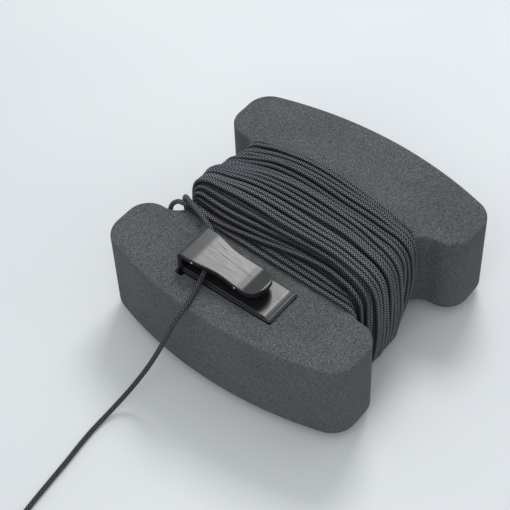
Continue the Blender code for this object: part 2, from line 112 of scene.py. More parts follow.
def add_node(tree, kind, settings=None, **links):
    """Add one node, set its properties and sockets, and link sockets given as outputs.

    A settings key is a property's name.  A link's key is an input's name with _ for a space, or
    in0, in1 ... for a place; its value is another node's output, or a plain value for the socket.
    """
    node = tree.nodes.new(kind)
    for key, value in (settings or {}).items():
        setattr(node, key, value)
    for key, value in links.items():
        by_place = key.startswith("in") and key[2:].isdigit()
        place = int(key[2:]) if by_place else key.replace("_", " ")
        socket = node.inputs[place]
        if isinstance(value, bpy.types.NodeSocket):
            tree.links.new(value, socket)
        else:
            socket.default_value = value
    return node


def add_ramp(tree, factor, stops):
    """Add a colour ramp: stops are (place, hex code)."""
    node = add_node(tree, "ShaderNodeValToRGB", Fac=factor)
    ramp = node.color_ramp
    for place, _ in stops[1:-1]:
        ramp.elements.new(place)
    for element, (place, hex_code) in zip(ramp.elements, stops):
        element.position = place
        element.color = linear(hex_code)
    return node.outputs["Color"]


def calc(tree, operation, first, second=0.0, third=0.0):
    """Add a Math node and give its output."""
    node = add_node(tree, "ShaderNodeMath", {"operation": operation}, in0=first, in1=second,
                    in2=third)
    return node.outputs[0]


def grain_scale(size):
    """Scale of a noise or cell pattern on Object coordinates whose grain is this many mm."""
    return 1 / (size * MM)


def start_material(name, **shader_values):
    """A material with its Principled shader, whose uniform values are set on its own sockets."""
    material = bpy.data.materials.new(name)
    material.use_nodes = True
    tree = material.node_tree
    shader = tree.nodes["Principled BSDF"]
    for key, value in shader_values.items():
        shader.inputs[key.replace("_", " ")].default_value = value
    return material, tree, shader


def connect(tree, shader, **outputs):
    """Link outputs into the shader's sockets."""
    for key, value in outputs.items():
        tree.links.new(value, shader.inputs[key.replace("_", " ")])


def eva_foam():
    """Closed-cell EVA foam, cut from board: dull dark grey with a fine cell grain.

    The cut cells scatter light, so there is no gloss, only a salt-and-pepper grain.  The sawn
    sides have a fainter grain and faint upright strokes.  Real cells are near 0.3 mm; the grain
    is drawn at 0.56 to 0.59 mm so that it shows.
    """
    material, tree, shader = start_material("closed_cell_eva_foam", Roughness=0.92, IOR=1.45)
    shader.inputs["Specular IOR Level"].default_value = 0.3
    place = add_node(tree, "ShaderNodeTexCoord").outputs["Object"]
    grain = add_node(tree, "ShaderNodeTexNoise", Vector=place, Scale=grain_scale(0.5556),
                     Detail=3.0, Roughness=0.65).outputs["Fac"]
    cells = add_node(tree, "ShaderNodeTexVoronoi", Vector=place,
                     Scale=grain_scale(0.5882)).outputs["Distance"]
    cloud = add_node(tree, "ShaderNodeTexNoise", Vector=place, Scale=grain_scale(33.33),
                     Detail=1.0).outputs["Fac"]
    normal = add_node(tree, "ShaderNodeNewGeometry").outputs["Normal"]
    upward = add_node(tree, "ShaderNodeSeparateXYZ", Vector=normal).outputs["Z"]
    side = calc(tree, "SUBTRACT", 1.0, calc(tree, "ABSOLUTE", upward))
    depth = calc(tree, "MULTIPLY_ADD", side, -0.15, 1.0)
    mixed = calc(tree, "MULTIPLY_ADD", cells, -0.22, grain)
    mixed = calc(tree, "MULTIPLY", calc(tree, "SUBTRACT", mixed, 0.40), depth)
    toned = calc(tree, "MULTIPLY_ADD", cloud, 0.10, calc(tree, "ADD", mixed, 0.43))
    colour = add_ramp(tree, toned, [(0.30, "323335"), (0.45, "525355"), (0.60, "656667"),
                                    (0.74, "8F9091")])
    stretched = add_node(tree, "ShaderNodeMapping", Vector=place, Scale=(1.0, 1.0, 0.04))
    strokes = add_node(tree, "ShaderNodeTexNoise", Vector=stretched.outputs[0],
                       Scale=grain_scale(2.381), Detail=2.0).outputs["Fac"]
    stroke_height = calc(tree, "MULTIPLY", calc(tree, "MULTIPLY", strokes, side), 0.9)
    height = calc(tree, "ADD", mixed, stroke_height)
    bump = add_node(tree, "ShaderNodeBump", Strength=0.55, Distance=0.12 * MM, Height=height)
    connect(tree, shader, Base_Color=colour, Normal=bump.outputs[0])
    return material


def braided_polyester():
    """Braided polyester cord, solution dyed near black.

    Two families of yarns run round it in opposite helices and pass over and under each other, so
    the surface is a lattice of small diamonds, raised by a bump, with a painted highlight where a
    yarn crowns, painted shade between, and a painted sheen where one family passes over.  The real
    yarns are about 0.6 mm wide; the diamonds are drawn 1.3 by 1.7 mm so that they show.
    The "tone" attribute is painted shade: low in the grooves between turns, where little light
    comes, it darkens the colour there; it also differs a little at random from turn to turn.
    """
    material, tree, shader = start_material("braided_polyester_cord", Roughness=0.58, IOR=1.5)
    braid = add_node(tree, "ShaderNodeUVMap", {"uv_map": "braid"}).outputs["UV"]
    parts = add_node(tree, "ShaderNodeSeparateXYZ", Vector=braid)
    around = calc(tree, "MULTIPLY", parts.outputs["X"], YARNS * 2 * math.pi)
    along = calc(tree, "MULTIPLY", parts.outputs["Y"], 2 * math.pi / YARN_LAY)
    right_hand = calc(tree, "SINE", calc(tree, "ADD", around, along))
    left_hand = calc(tree, "SINE", calc(tree, "SUBTRACT", around, along))
    crossing = calc(tree, "MULTIPLY", right_hand, left_hand)
    crown = calc(tree, "POWER", calc(tree, "ABSOLUTE", crossing), 0.7)
    over = calc(tree, "GREATER_THAN", crossing, 0.0)
    fuzz = add_node(tree, "ShaderNodeTexNoise", Vector=braid, Scale=2.2, Detail=3.0).outputs["Fac"]
    tone = add_node(tree, "ShaderNodeAttribute", {"attribute_name": "tone"}).outputs["Fac"]
    # Painted highlight on the yarns' crowns and painted shade between them; over adds a painted
    # sheen where one family passes over
    shade = calc(tree, "MULTIPLY_ADD", over, 0.10, calc(tree, "MULTIPLY", crown, 0.70))
    shade = calc(tree, "MULTIPLY_ADD", fuzz, 0.20, shade)
    # Painted shade: the attribute darkens the colour in the grooves between turns
    shade = calc(tree, "MULTIPLY", shade, calc(tree, "MULTIPLY_ADD", tone, 0.62, 0.52))
    gloss = calc(tree, "MULTIPLY", crown, 0.6)
    colour = add_ramp(tree, shade, [(0.14, "0E0F11"), (0.36, "232428"), (0.62, "4F5158"),
                                    (0.90, "91939B")])
    height = calc(tree, "MULTIPLY_ADD", fuzz, 0.25, crown)
    bump = add_node(tree, "ShaderNodeBump", Strength=1.0, Distance=0.30 * MM, Height=height)
    connect(tree, shader, Base_Color=colour, Specular_IOR_Level=gloss, Normal=bump.outputs[0])
    return material


def moulded_acetal():
    """Acetal, injection moulded: black and smooth, with a satin gloss and faint flow streaks.

    The clear gloss mirrors the window of light above it, softened by the mould's fine texture.
    Two fine witness lines of the mould run along the lever's top, where the gloss breaks.
    """
    material, tree, shader = start_material("moulded_black_acetal", IOR=1.48)
    place = add_node(tree, "ShaderNodeTexCoord").outputs["Object"]
    streaked = add_node(tree, "ShaderNodeMapping", Vector=place, Scale=(0.06, 1.0, 1.0))
    streaks = add_node(tree, "ShaderNodeTexNoise", Vector=streaked.outputs[0],
                       Scale=grain_scale(1.111), Detail=3.0).outputs["Fac"]
    speckle = add_node(tree, "ShaderNodeTexNoise", Vector=place, Scale=grain_scale(0.625),
                       Detail=2.0).outputs["Fac"]
    colour = add_ramp(tree, speckle, [(0.30, "131416"), (0.75, "1F2022")])
    parts = add_node(tree, "ShaderNodeSeparateXYZ", Vector=place)
    raised = calc(tree, "GREATER_THAN", parts.outputs["Z"], MOULD_LINES_ABOVE * MM)
    lines = 0.0
    for start, stop, side, slope in MOULD_LINES:
        level = calc(tree, "MULTIPLY_ADD", parts.outputs["X"], slope, side * MM)
        away = calc(tree, "ABSOLUTE", calc(tree, "SUBTRACT", parts.outputs["Y"], level))
        near = calc(tree, "LESS_THAN", away, MOULD_LINE_WIDTH / 2 * MM)
        along = calc(tree, "MULTIPLY", calc(tree, "GREATER_THAN", parts.outputs["X"], start * MM),
                     calc(tree, "LESS_THAN", parts.outputs["X"], stop * MM))
        lines = calc(tree, "MAXIMUM", lines, calc(tree, "MULTIPLY", near, along))
    lines = calc(tree, "MULTIPLY", lines, raised)
    gloss = calc(tree, "MULTIPLY_ADD", lines, -0.45, 0.62)
    roughness = calc(tree, "MULTIPLY_ADD", streaks, 0.16, 0.20)
    height = calc(tree, "MULTIPLY_ADD", speckle, 0.5, streaks)
    bump = add_node(tree, "ShaderNodeBump", Strength=0.18, Distance=0.03 * MM, Height=height)
    connect(tree, shader, Base_Color=colour, Roughness=roughness, Specular_IOR_Level=gloss,
            Normal=bump.outputs[0])
    return material


def heat_sealed_polyester():
    """Polyester melted with a flame: the cord's cut end fused to a hard, shiny black bead."""
    material, tree, shader = start_material("heat_sealed_polyester", Roughness=0.3, IOR=1.55)
    place = add_node(tree, "ShaderNodeTexCoord").outputs["Object"]
    lumps = add_node(tree, "ShaderNodeTexNoise", Vector=place, Scale=grain_scale(1.111),
                     Detail=2.0).outputs["Fac"]
    colour = add_ramp(tree, lumps, [(0.3, "0E0F10"), (0.8, "232426")])
    bump = add_node(tree, "ShaderNodeBump", Strength=0.4, Distance=0.2 * MM, Height=lumps)
    connect(tree, shader, Base_Color=colour, Normal=bump.outputs[0])
    return material


def polished_steel():
    """Bright stainless steel, for the two small pin ends in the clip's side: a sharp glint."""
    material, tree, shader = start_material("polished_steel_pin", Metallic=1.0, Roughness=0.18)
    place = add_node(tree, "ShaderNodeTexCoord").outputs["Object"]
    scratches = add_node(tree, "ShaderNodeTexNoise", Vector=place,
                         Scale=grain_scale(0.4)).outputs["Fac"]
    colour = add_ramp(tree, scratches, [(0.3, "9A9B9C"), (0.7, "C4C5C6")])
    connect(tree, shader, Base_Color=colour)
    return material


# ----------------------------------------------------------------------------------- mesh work

def grid_faces(rows, columns, wrap=True, offset=0):
    """Quads over a rows by columns grid of points, wrapping round its columns or not."""
    row, column = np.meshgrid(np.arange(rows - 1), np.arange(columns if wrap else columns - 1),
                              indexing="ij")
    after = (column + 1) % columns
    quads = np.stack([row * columns + column, row * columns + after,
                      (row + 1) * columns + after, (row + 1) * columns + column], axis=-1)
    return quads.reshape(-1, 4) + offset


def add_piece(name, points, faces, material, body, uv=None, tone=None, sharp=None):
    """A mesh object from points in mm and faces, riding on a CAD body.

    Its object sits at the origin.  A uv row belongs to each corner of each face, in order, and
    sharp is the angle in degrees past which an edge stays crisp.
    """
    mesh = bpy.data.meshes.new(name)
    mesh.from_pydata(np.asarray(points, float) * MM, [], [list(map(int, face)) for face in faces])
    mesh.materials.append(material)
    mesh.polygons.foreach_set("use_smooth", np.ones(len(mesh.polygons), bool))
    if sharp:
        mesh.set_sharp_from_angle(angle=math.radians(sharp))
    if uv is not None:
        layer = mesh.uv_layers.new(name="braid")
        layer.data.foreach_set("uv", np.asarray(uv, np.float32).ravel())
    if tone is not None:
        attribute = mesh.attributes.new("tone", "FLOAT", "POINT")
        attribute.data.foreach_set("value", np.asarray(tone, np.float32))
    piece = bpy.data.objects.new(name, mesh)
    bpy.context.scene.collection.objects.link(piece)
    if body:
        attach(piece, body)
    return piece


def smoothstep(value):
    """Rise from 0 to 1 with level ends."""
    t = np.clip(value, 0.0, 1.0)
    return t * t * (3 - 2 * t)


def arc(centre, radius, start_degrees, end_degrees, steps):
    """Points along an arc in a plane, both ends included."""
    angles = np.radians(np.linspace(start_degrees, end_degrees, steps + 1))
    return np.column_stack([centre[0] + radius * np.cos(angles),
                            centre[1] + radius * np.sin(angles)])


def spline(route, spacing):
    """Evenly spaced points on the natural cubic spline through a route's points."""
    knots = np.asarray(route, float)
    count = len(knots)
    place = np.concatenate([[0], np.cumsum(np.linalg.norm(np.diff(knots, axis=0), axis=1))])
    step = np.diff(place)
    slope = np.diff(knots, axis=0) / step[:, None]
    system, target = np.eye(count), np.zeros_like(knots)
    inner = np.arange(1, count - 1)
    system[inner, inner - 1] = step[:-1]
    system[inner, inner] = 2 * (step[:-1] + step[1:])
    system[inner, inner + 1] = step[1:]
    target[inner] = 6 * (slope[1:] - slope[:-1])
    bend = np.linalg.solve(system, target)
    at = np.linspace(0, place[-1], max(2, round(place[-1] / spacing)) + 1)
    span = np.clip(np.searchsorted(place, at, side="right") - 1, 0, count - 2)
    before, after = (at - place[span])[:, None], (place[span + 1] - at)[:, None]
    width = step[span][:, None]
    return ((bend[span] * after ** 3 + bend[span + 1] * before ** 3) / (6 * width)
            + (knots[span] / width - bend[span] * width / 6) * after
            + (knots[span + 1] / width - bend[span + 1] * width / 6) * before)


def length_of(path):
    """Length of a line through points."""
    return float(np.linalg.norm(np.diff(path, axis=0), axis=1).sum())


def path_frame(path, outward=None):
    """Two unit vectors square to a path at each point.

    With an outward direction the first follows it; without one a starting vector is carried
    along, and what leans along the path is taken off at each step.
    """
    tangent = np.gradient(path, axis=0)
    tangent /= np.linalg.norm(tangent, axis=1)[:, None]
    if outward is None:
        outward = np.zeros_like(path)
        carried = np.cross(tangent[0], (0.3, 0.5, 0.81))
        for i, direction in enumerate(tangent):
            carried = carried - direction * (carried @ direction)
            carried /= np.linalg.norm(carried)
            outward[i] = carried
    side = np.cross(tangent, outward)
    side /= np.linalg.norm(side, axis=1)[:, None]
    return np.cross(side, tangent), side


def tube(path, half_up, half_side, sides, outward=None, relief=0.0, v_start=0.0):
    """Surface of a cord: an ellipse square to the path, carried along it, closed at both ends.

    Point (i, j) is path[i] + up cos(a) half_up + side sin(a) half_side, with a = 2 pi j / sides.
    Relief lifts the crowns of the braid, the root of the product of two opposite helices' sines.
    Gives points, faces and the corners' uv: turns round the cord, and mm along it.
    """
    up, side = path_frame(path, outward)
    steps = np.linalg.norm(np.diff(path, axis=0), axis=1)
    along = np.concatenate([[0], np.cumsum(steps)]) + v_start
    turn = np.arange(sides) / sides
    angle = 2 * np.pi * turn
    helix = 2 * np.pi * along[:, None] / YARN_LAY
    round_it = YARNS * angle[None, :]
    crown = np.sqrt(np.abs(np.sin(round_it + helix) * np.sin(round_it - helix)))
    lift = 1 + relief * (crown - 0.6)
    half_up = np.broadcast_to(half_up, len(path))[:, None]
    half_side = np.broadcast_to(half_side, len(path))[:, None]
    points = (path[:, None, :] + up[:, None, :] * (np.cos(angle) * half_up * lift)[..., None]
              + side[:, None, :] * (np.sin(angle) * half_side * lift)[..., None])
    faces = grid_faces(len(path), sides)
    row, column = np.divmod(np.arange(len(faces)), sides)
    corner_turn = np.stack([column, column + 1, column + 1, column], axis=1) / sides
    corner_along = along[np.stack([row, row, row + 1, row + 1], axis=1)]
    uv = np.stack([corner_turn, corner_along], axis=-1).reshape(-1, 2)
    last = (len(path) - 1) * sides
    caps = [np.arange(sides)[::-1], last + np.arange(sides)]
    cap_uv = np.vstack([np.column_stack([cap % sides / sides, np.full(sides, along[end])])
                        for cap, end in zip(caps, (0, -1))])
    return points.reshape(-1, 3), [*faces, *caps], np.vstack([uv, cap_uv])


FOAM = eva_foam()
POLYESTER = braided_polyester()
ACETAL = moulded_acetal()
SEALED = heat_sealed_polyester()
STEEL = polished_steel()


# ----------------------------------------------------------------------------- free cord first

# The routes repeat those of the solids: the slack loop and the stretch under the lever, and the
# free lead
LOOP_ROUTE = [
    (-52.6, -26.5, 60.9), (-55.8, -27.0, 61.0), (-58.3, -28.2, 59.6), (-60.0, -29.4, 55.8),
    (-60.3, -29.8, 50.0), (-60.4, -29.0, 43.6), (-60.2, -26.4, 39.9), (-59.6, -23.2, 38.9),
    (-58.8, -20.6, 41.4), (-58.3, -20.0, 46.2), (-57.7, -20.7, 51.4), (-57.2, -21.5, 55.8),
    (-56.2, -22.3, 59.6), (-54.4, -23.4, 62.3), (-51.6, -24.7, 63.3), (-47.0, -26.3, 63.2),
    (-41.5, -28.1, 63.0), (-35.0, -30.4, 62.7), (-29.0, -33.2, 62.4), (-24.2, -38.0, 62.1),
    (-20.4, -44.0, 62.0), (-17.2, -50.5, 61.95), (-14.3, -57.8, 61.9), (-14.0, -58.7, 61.9),
]
LEAD_ROUTE = [
    (-14.0, -58.7, 61.9), (-13.0, -62.5, 61.2), (-12.0, -67.0, 59.9), (-11.0, -71.0, 59.6),
    (-9.9, -76.0, 59.5), (-9.8, -80.0, 58.0), (-10.8, -84.0, 53.8), (-12.7, -87.6, 46.6),
    (-15.4, -91.4, 37.4), (-18.8, -96.0, 27.0), (-22.4, -101.6, 17.6), (-25.6, -108.4, 9.8),
    (-27.9, -116.0, 4.6), (-28.9, -124.0, 2.1), (-28.8, -132.0, 1.6), (-27.8, -142.0, 1.6),
    (-26.5, -152.0, 1.6), (-25.4, -162.0, 1.6), (-24.3, -172.0, 1.6), (-23.1, -182.0, 1.6),
    (-21.6, -191.0, 1.9), (-20.2, -198.0, 2.9),
]
ROUTE_STEP = 0.3         # between the points of a free cord's line
FREE_SIDES, KNOT_SIDES = 24, 16      # points round a free cord, and round the knot's
BRAID_RELIEF = 0.10      # rise of the braid's crowns, as a share of the cord's radius
# Painted light and shade on the slack loop and the other free cords, from 0 (darkest) to 1
LOOP_PAINTED_LIGHT, FREE_PAINTED_LIGHT = 0.75, 0.5     # how openly they lie, from 0 to 1
KNOT_WRAPS = 2.5
WRAP_PITCH = 2.55        # from wrap to wrap, along the knot's axis
KNOT_COIL_RADIUS = 2.35  # centre of the wraps to the knot's axis
KNOT_LIFT = 0.8          # knot's axis over the lead's end, so that its wraps lie on the surface
TAIL = 8.0               # how far the cut end reaches past the knot
BEAD_REACH, BEAD_RADIUS = 1.1, 1.42      # sealed bead: half its length, and its radius


def build_loop():
    """Slack loop beside the winding and the stretch of cord that runs under the lever."""
    path = spline(LOOP_ROUTE, ROUTE_STEP)
    points, faces, uv = tube(path, CORD / 2, CORD / 2, FREE_SIDES, relief=BRAID_RELIEF)
    piece = add_piece("cord_loop", points, faces, POLYESTER, "block", uv,
                      np.full(len(points), LOOP_PAINTED_LIGHT))
    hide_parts("cord_bight")


def build_knot(end, direction, v_start):
    """Barrel knot: the cord's end wrapped back round itself, with its sealed tail led out.

    The wraps are a helix about the cord's own axis whose radius swells from nothing at each end,
    so that both ends dive under the wraps; the tail leaves along the axis.  The sealed bead is an
    ellipsoid whose section is lobed by 1 + 0.06 sin 3a.
    """
    side = np.array([-direction[1], direction[0], 0.0])
    upright = np.array([0.0, 0.0, 1.0])
    share = np.linspace(0, 1, 150)
    turn = 2 * np.pi * KNOT_WRAPS * share
    radius = KNOT_COIL_RADIUS * smoothstep(share / 0.12) * smoothstep((1 - share) / 0.12)
    run = 1.3 + WRAP_PITCH * KNOT_WRAPS * share
    wraps = (end + run[:, None] * direction + (radius * np.cos(turn))[:, None] * side
             + (radius * np.sin(turn))[:, None] * upright)
    tail_run = np.linspace(2.0, 8.6 + TAIL, 60)
    droop = (end[2] - CORD / 2 - 0.35) * smoothstep((tail_run - 8.0) / TAIL)
    tail = end + tail_run[:, None] * direction - droop[:, None] * upright
    (points, faces, uv), (tail_points, tail_faces, tail_uv) = (
        tube(line, CORD / 2, CORD / 2, KNOT_SIDES, relief=BRAID_RELIEF, v_start=v_start)
        for line in (wraps, tail))
    faces = [*faces, *[np.asarray(face) + len(points) for face in tail_faces]]
    points, uv = np.vstack([points, tail_points]), np.vstack([uv, tail_uv])
    knot = add_piece("stopper_knot", points, faces, POLYESTER, "block", uv,
                     np.full(len(points), FREE_PAINTED_LIGHT))
    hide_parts("end_knot")
    rows, columns = 12, 20
    bead_along = np.linspace(0, np.pi, rows)
    ring = np.linspace(0, 2 * np.pi, columns, endpoint=False)
    lumpy = 1 + 0.06 * np.sin(3 * ring)
    reach, width = -BEAD_REACH * np.cos(bead_along), BEAD_RADIUS * np.sin(bead_along).clip(0.02)
    bead = (tail[-1] + (reach[:, None, None] - 0.2) * direction
            + (width[:, None] * np.cos(ring) * lumpy)[..., None] * side
            + (width[:, None] * np.sin(ring) * lumpy)[..., None] * upright).reshape(-1, 3)
    bead_faces = [*grid_faces(rows, columns)[:, ::-1], np.arange(columns),
                  ((rows - 1) * columns + np.arange(columns))[::-1]]
    sealed = add_piece("sealed_tip", bead, bead_faces, SEALED, "block")
    return knot, sealed


def build_lead():
    """Free lead from the clip's near side to its stopper knot."""
    path = spline(LEAD_ROUTE, ROUTE_STEP)
    points, faces, uv = tube(path, CORD / 2, CORD / 2, FREE_SIDES, relief=BRAID_RELIEF)
    lead = add_piece("free_lead", points, faces, POLYESTER, "block", uv,
                     np.full(len(points), FREE_PAINTED_LIGHT))
    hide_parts("cord_lead")
    direction = path[-1] - path[-4]
    direction[2] = 0
    direction /= np.linalg.norm(direction)
    end = path[-1] + (0, 0, KNOT_LIFT)
    knot, sealed = build_knot(end, direction, length_of(path))


build_loop()
build_lead()


# ------------------------------------------------------------------------------------- winding

WAIST_HALF = 50.0        # centre to the notch floors, along X
INNER_Y = 32.0           # flanges' inner faces
FILLET = 12.0            # between a notch floor and a flange
EDGE_RADIUS = 3.0        # innermost turn's bend over the foam's edge
END_BULGE = (0.6, 2.2)   # slack over the notch floors at the -X and +X ends
PRESSED_BELOW = 0.235    # how much flatter the turns lie under the block, as a share
PRESSED_LEFT = 0.17      # the same over the -X notch floor
LIFT_OFF_TABLE = 0.16    # lowest turns over the resting surface
NEST_WIDTH, NEST_RISE = 0.9, 0.84    # a turn between two below: shares of its width and height
SQUEEZE = 1.3            # most that a crowded turn is pushed up
PITCH_SPREAD = 0.30      # uneven spacing of the turns, as a share
STRAY_GAP = 0.5          # extra share of the pitch where the cord strayed
WANDER = (0.16, 0.06)    # sideways waver of the first layer's turns, and its growth per layer
SHADE_DEPTH = 1.3        # how far under the crowns a groove turns dark

# Places round the waist: (x share, z share) of the waist's half length and half thickness
STATIONS = [(0, -1), (1, -1), (1, -0.4), (1, 0.3), (1, 1), (0.86, 1), (0.6, 1), (0.3, 1), (0, 1),
            (-0.3, 1), (-0.6, 1), (-0.86, 1), (-1, 1), (-1, -1)]
# Each layer's turns, and where its two edges run along Y past those places
LAYERS = [
    # (turns, near edge, far edge)
    (21, (-29, -31.5, -32, -32.3, -32.3, -32, -31.5, -31, -30.5, -29.9, -29.4, -28.8, -26.5, -26.5),
     (23, 18.5, 24, 27.5, 25, 30, 34.6, 37.6, 40, 41, 39.6, 35.5, 28, 25.5)),
    (19, (-25, -28, -28, -27.5, -25.5, -20.5, -17.6, -18.3, -20.3, -22.5, -23.8, -23, -19.5, -21),
     (20, 14, 21, 25.5, 24.2, 28.9, 32, 33.9, 36.3, 37.2, 36, 31.8, 24.5, 22)),
    (17, (-22, -26.5, -26.5, -26, -23.5, -18.8, -16, -17, -18, -19.6, -20.4, -19.6, -17.5, -18.5),
     (17, 10, 18, 23.5, 22.5, 25.5, 27.9, 29.4, 31, 32.3, 31, 26.3, 17, 17)),
    (14, (-19, -24, -24, -23.5, -21.5, -17, -14.3, -15, -15.8, -16, -16.3, -16.2, -15.5, -16),
     (13, 6, 14.5, 20.5, 19.5, 21.4, 22.6, 23.5, 25.4, 26.5, 25, 19.5, 7, 10)),
    (8, (-15, -18, -18, -17.5, -17.5, -14, -12, -12.3, -11.8, -11, -10.4, -11.5, -13, -14),
     (8, 2, 4, 5, 4, 8, 12, 13.8, 15.5, 15.6, 13.5, 7, -3.4, 2)),
]
WIDE_GAPS = {0: 0, 4: 3}     # in these layers the cord strayed after this turn
LEAVES_AT = 38.0             # the last turn leaves the winding this far towards -X
# The last half turn, which crosses the others on its way to the slack loop
LAST_TURN = (-20, -26.5, -26.5, -26.3, -24.3, -20.2, -18, -19, -21.5, -24.5, -26.3, -26.3, -25.5,
             -24)


def waist_samples():
    """Points, outward normals and arc lengths round the waist, from the underside's middle.

    The waist is a rectangle with rounded edges, walked from below to the +X end, over the top and
    down the -X end.
    """
    x, z, r = WAIST_HALF, (TOP_Z - BOTTOM_Z) / 2, EDGE_RADIUS
    corners = [(x - r, r - z, -90), (x - r, z - r, 0), (r - x, z - r, 90), (r - x, r - z, 180)]
    flats = [14, 34, 14, 15]
    points = [np.column_stack([np.linspace(0, x - r, 16)[:-1], np.full(15, -z)])]
    normals = [np.tile((0.0, -1.0), (15, 1))]
    for (cx, cz, start), flat in zip(corners, flats):
        curve, facing = arc((cx, cz), r, start, start + 90, 9), arc((0, 0), 1, start, start + 90, 9)
        ahead = np.array([-facing[-1][1], facing[-1][0]])
        reach = {14: 2 * (z - r), 34: 2 * (x - r), 15: x - r}[flat]
        line = curve[-1] + ahead * (np.arange(1, flat) / flat * reach)[:, None]
        points += [curve, line]
        normals += [facing, np.repeat(facing[-1:], len(line), axis=0)]
    points, normals = np.vstack(points), np.vstack(normals)
    steps = np.linalg.norm(np.diff(points, axis=0, append=points[:1]), axis=1)
    return points, normals, np.concatenate([[0], np.cumsum(steps)])


WAIST, FACING, WAIST_RUN = waist_samples()
SAMPLES = len(WAIST)
CIRCUIT = WAIST_RUN[-1]


def soften(values, reach):
    """Running average round the waist over a bell-shaped window, in mm of arc, last axis."""
    gap = np.abs(WAIST_RUN[:-1, None] - WAIST_RUN[None, :-1])
    gap = np.minimum(gap, CIRCUIT - gap)
    step = np.gradient(WAIST_RUN)[:-1]
    weight = np.exp(-0.5 * (gap / reach) ** 2) * step
    return values @ (weight / weight.sum(axis=1, keepdims=True)).T


def round_waist(values):
    """Spread one value per station over all the samples, eased between stations."""
    places = []
    for x_share, z_share in STATIONS:
        target = np.array([x_share * WAIST_HALF, z_share * (TOP_Z - BOTTOM_Z) / 2])
        places.append(WAIST_RUN[np.argmin(np.linalg.norm(WAIST - target, axis=1))])
    spread = np.interp(WAIST_RUN[:-1], [*places, CIRCUIT], [*values, values[0]])
    return soften(spread, 5.0)


def lay_turns(rng):
    """Place along Y of every turn at every sample: one row per turn, in the order of winding.

    Within a layer a turn's share of the way from the near edge to the far edge grows evenly as
    the cord is wound, then falls in the next layer.  Each turn wanders by a few tenths of a
    millimetre.
    """
    part_way = WAIST_RUN[:-1] / CIRCUIT
    rows = []
    for number, (turns, near, far) in enumerate(LAYERS):
        near, far = round_waist(near), round_waist(far)
        pitch = 1 + PITCH_SPREAD * rng.uniform(-1, 1, turns)
        pitch[WIDE_GAPS.get(number, -1)] += STRAY_GAP
        edges = np.concatenate([[0], np.cumsum(pitch) / pitch.sum()])
        share = edges[:-1, None] + (edges[1:] - edges[:-1])[:, None] * part_way
        share = share if number % 2 else 1 - share
        wander = rng.normal(0, 1, (turns, 6))
        wave = 2 * np.pi * part_way[None, :, None] * np.array([1, 2, 3]) + wander[:, None, 3:] * 3
        loose = WANDER[0] + WANDER[1] * number
        drift = (np.sin(wave) * wander[:, None, :3]).sum(axis=2) * loose
        rows.append(near + (far - near) * share + drift * np.sin(np.pi * share.clip(0.08, 0.92)))
    last = round_waist(LAST_TURN)
    rows.append((rows[-1][-1] + (last - rows[-1][-1]) * smoothstep(part_way / 0.1))[None, :])
    y = np.vstack(rows)
    line = np.pad(y.ravel(), 6, mode="edge")
    window = np.hanning(13)[1:-1] / np.hanning(13)[1:-1].sum()
    return np.convolve(line, window, mode="same")[6:-6].reshape(y.shape)


def pile_up(y):
    """Height of every turn's centre over the waist, each laid on what is already there.

    A turn rests on the foam or on a turn of an earlier layer at a gap g along Y:
    h = h_below + H sqrt(1 - (g / W)^2), whichever is highest, where H and W are the nesting
    shares of a turn's height and width.  Where it crowds a turn of its own layer it is squeezed
    up a little.  It is then eased along its length.
    """
    floor = WOUND_HEIGHT / 2
    counts = [layer[0] for layer in LAYERS] + [1]
    starts = np.concatenate([[0], np.cumsum(counts)])
    height = np.zeros_like(y)
    for first, beyond in zip(starts[:-1], starts[1:]):
        for turn in range(first, beyond):
            gap = np.abs(y[turn] - y[:first]) / (NEST_WIDTH * WOUND_WIDTH)
            rise = NEST_RISE * WOUND_HEIGHT * np.sqrt(np.clip(1 - gap ** 2, 0, 1))
            on_top = height[:first] + rise
            raw = np.where(gap < 1, on_top, floor).max(axis=0, initial=floor)
            crowd = np.clip(1 - np.abs(y[turn] - y[first:turn]) / (0.8 * WOUND_WIDTH), 0, 1)
            raw = raw + SQUEEZE * crowd.max(axis=0, initial=0)
            high = np.maximum(raw, np.maximum(np.roll(raw, 1), np.roll(raw, -1)))
            height[turn] = soften(high, 3.2)
    return height


def winding_lines():
    """Centre line of every turn: the waist, grown by the turn's height and the notch's fillet.

    Beside a flange the notch floor curves outwards by R - sqrt(R^2 - d^2) at a distance d into
    its fillet of radius R, and the turns there follow it.
    """
    y = lay_turns(np.random.default_rng(11))
    height = pile_up(y)
    height *= 1 - PRESSED_BELOW * np.where(FACING[:, 1] < 0, FACING[:, 1] ** 2, 0)
    height *= 1 - PRESSED_LEFT * np.where(FACING[:, 0] < 0, FACING[:, 0] ** 2, 0)
    into = np.clip(np.abs(y) - (INNER_Y - FILLET), 0, FILLET)
    near_notch = np.clip(np.abs(WAIST[:, 0]) / 20 - 1.5, 0, 1)
    wider = (FILLET - np.sqrt(FILLET ** 2 - into ** 2)) * near_notch
    centre = WAIST + FACING * height[..., None]
    centre[..., 0] += np.sign(WAIST[:, 0]) * wider
    half_z = (TOP_Z - BOTTOM_Z) / 2
    bulge = np.where(FACING[:, 0] > 0, END_BULGE[1], END_BULGE[0]) * FACING[:, 0] ** 2
    slack = bulge * np.clip(1 - (centre[..., 1] / half_z) ** 2, 0, 1)
    x = centre[..., 0] + np.sign(FACING[:, 0]) * slack * np.minimum(height / 8.0, 1)
    z = np.maximum(MIDDLE_Z + centre[..., 1], WOUND_HEIGHT / 2 + LIFT_OFF_TABLE)
    return np.stack([x, y, z], axis=-1)


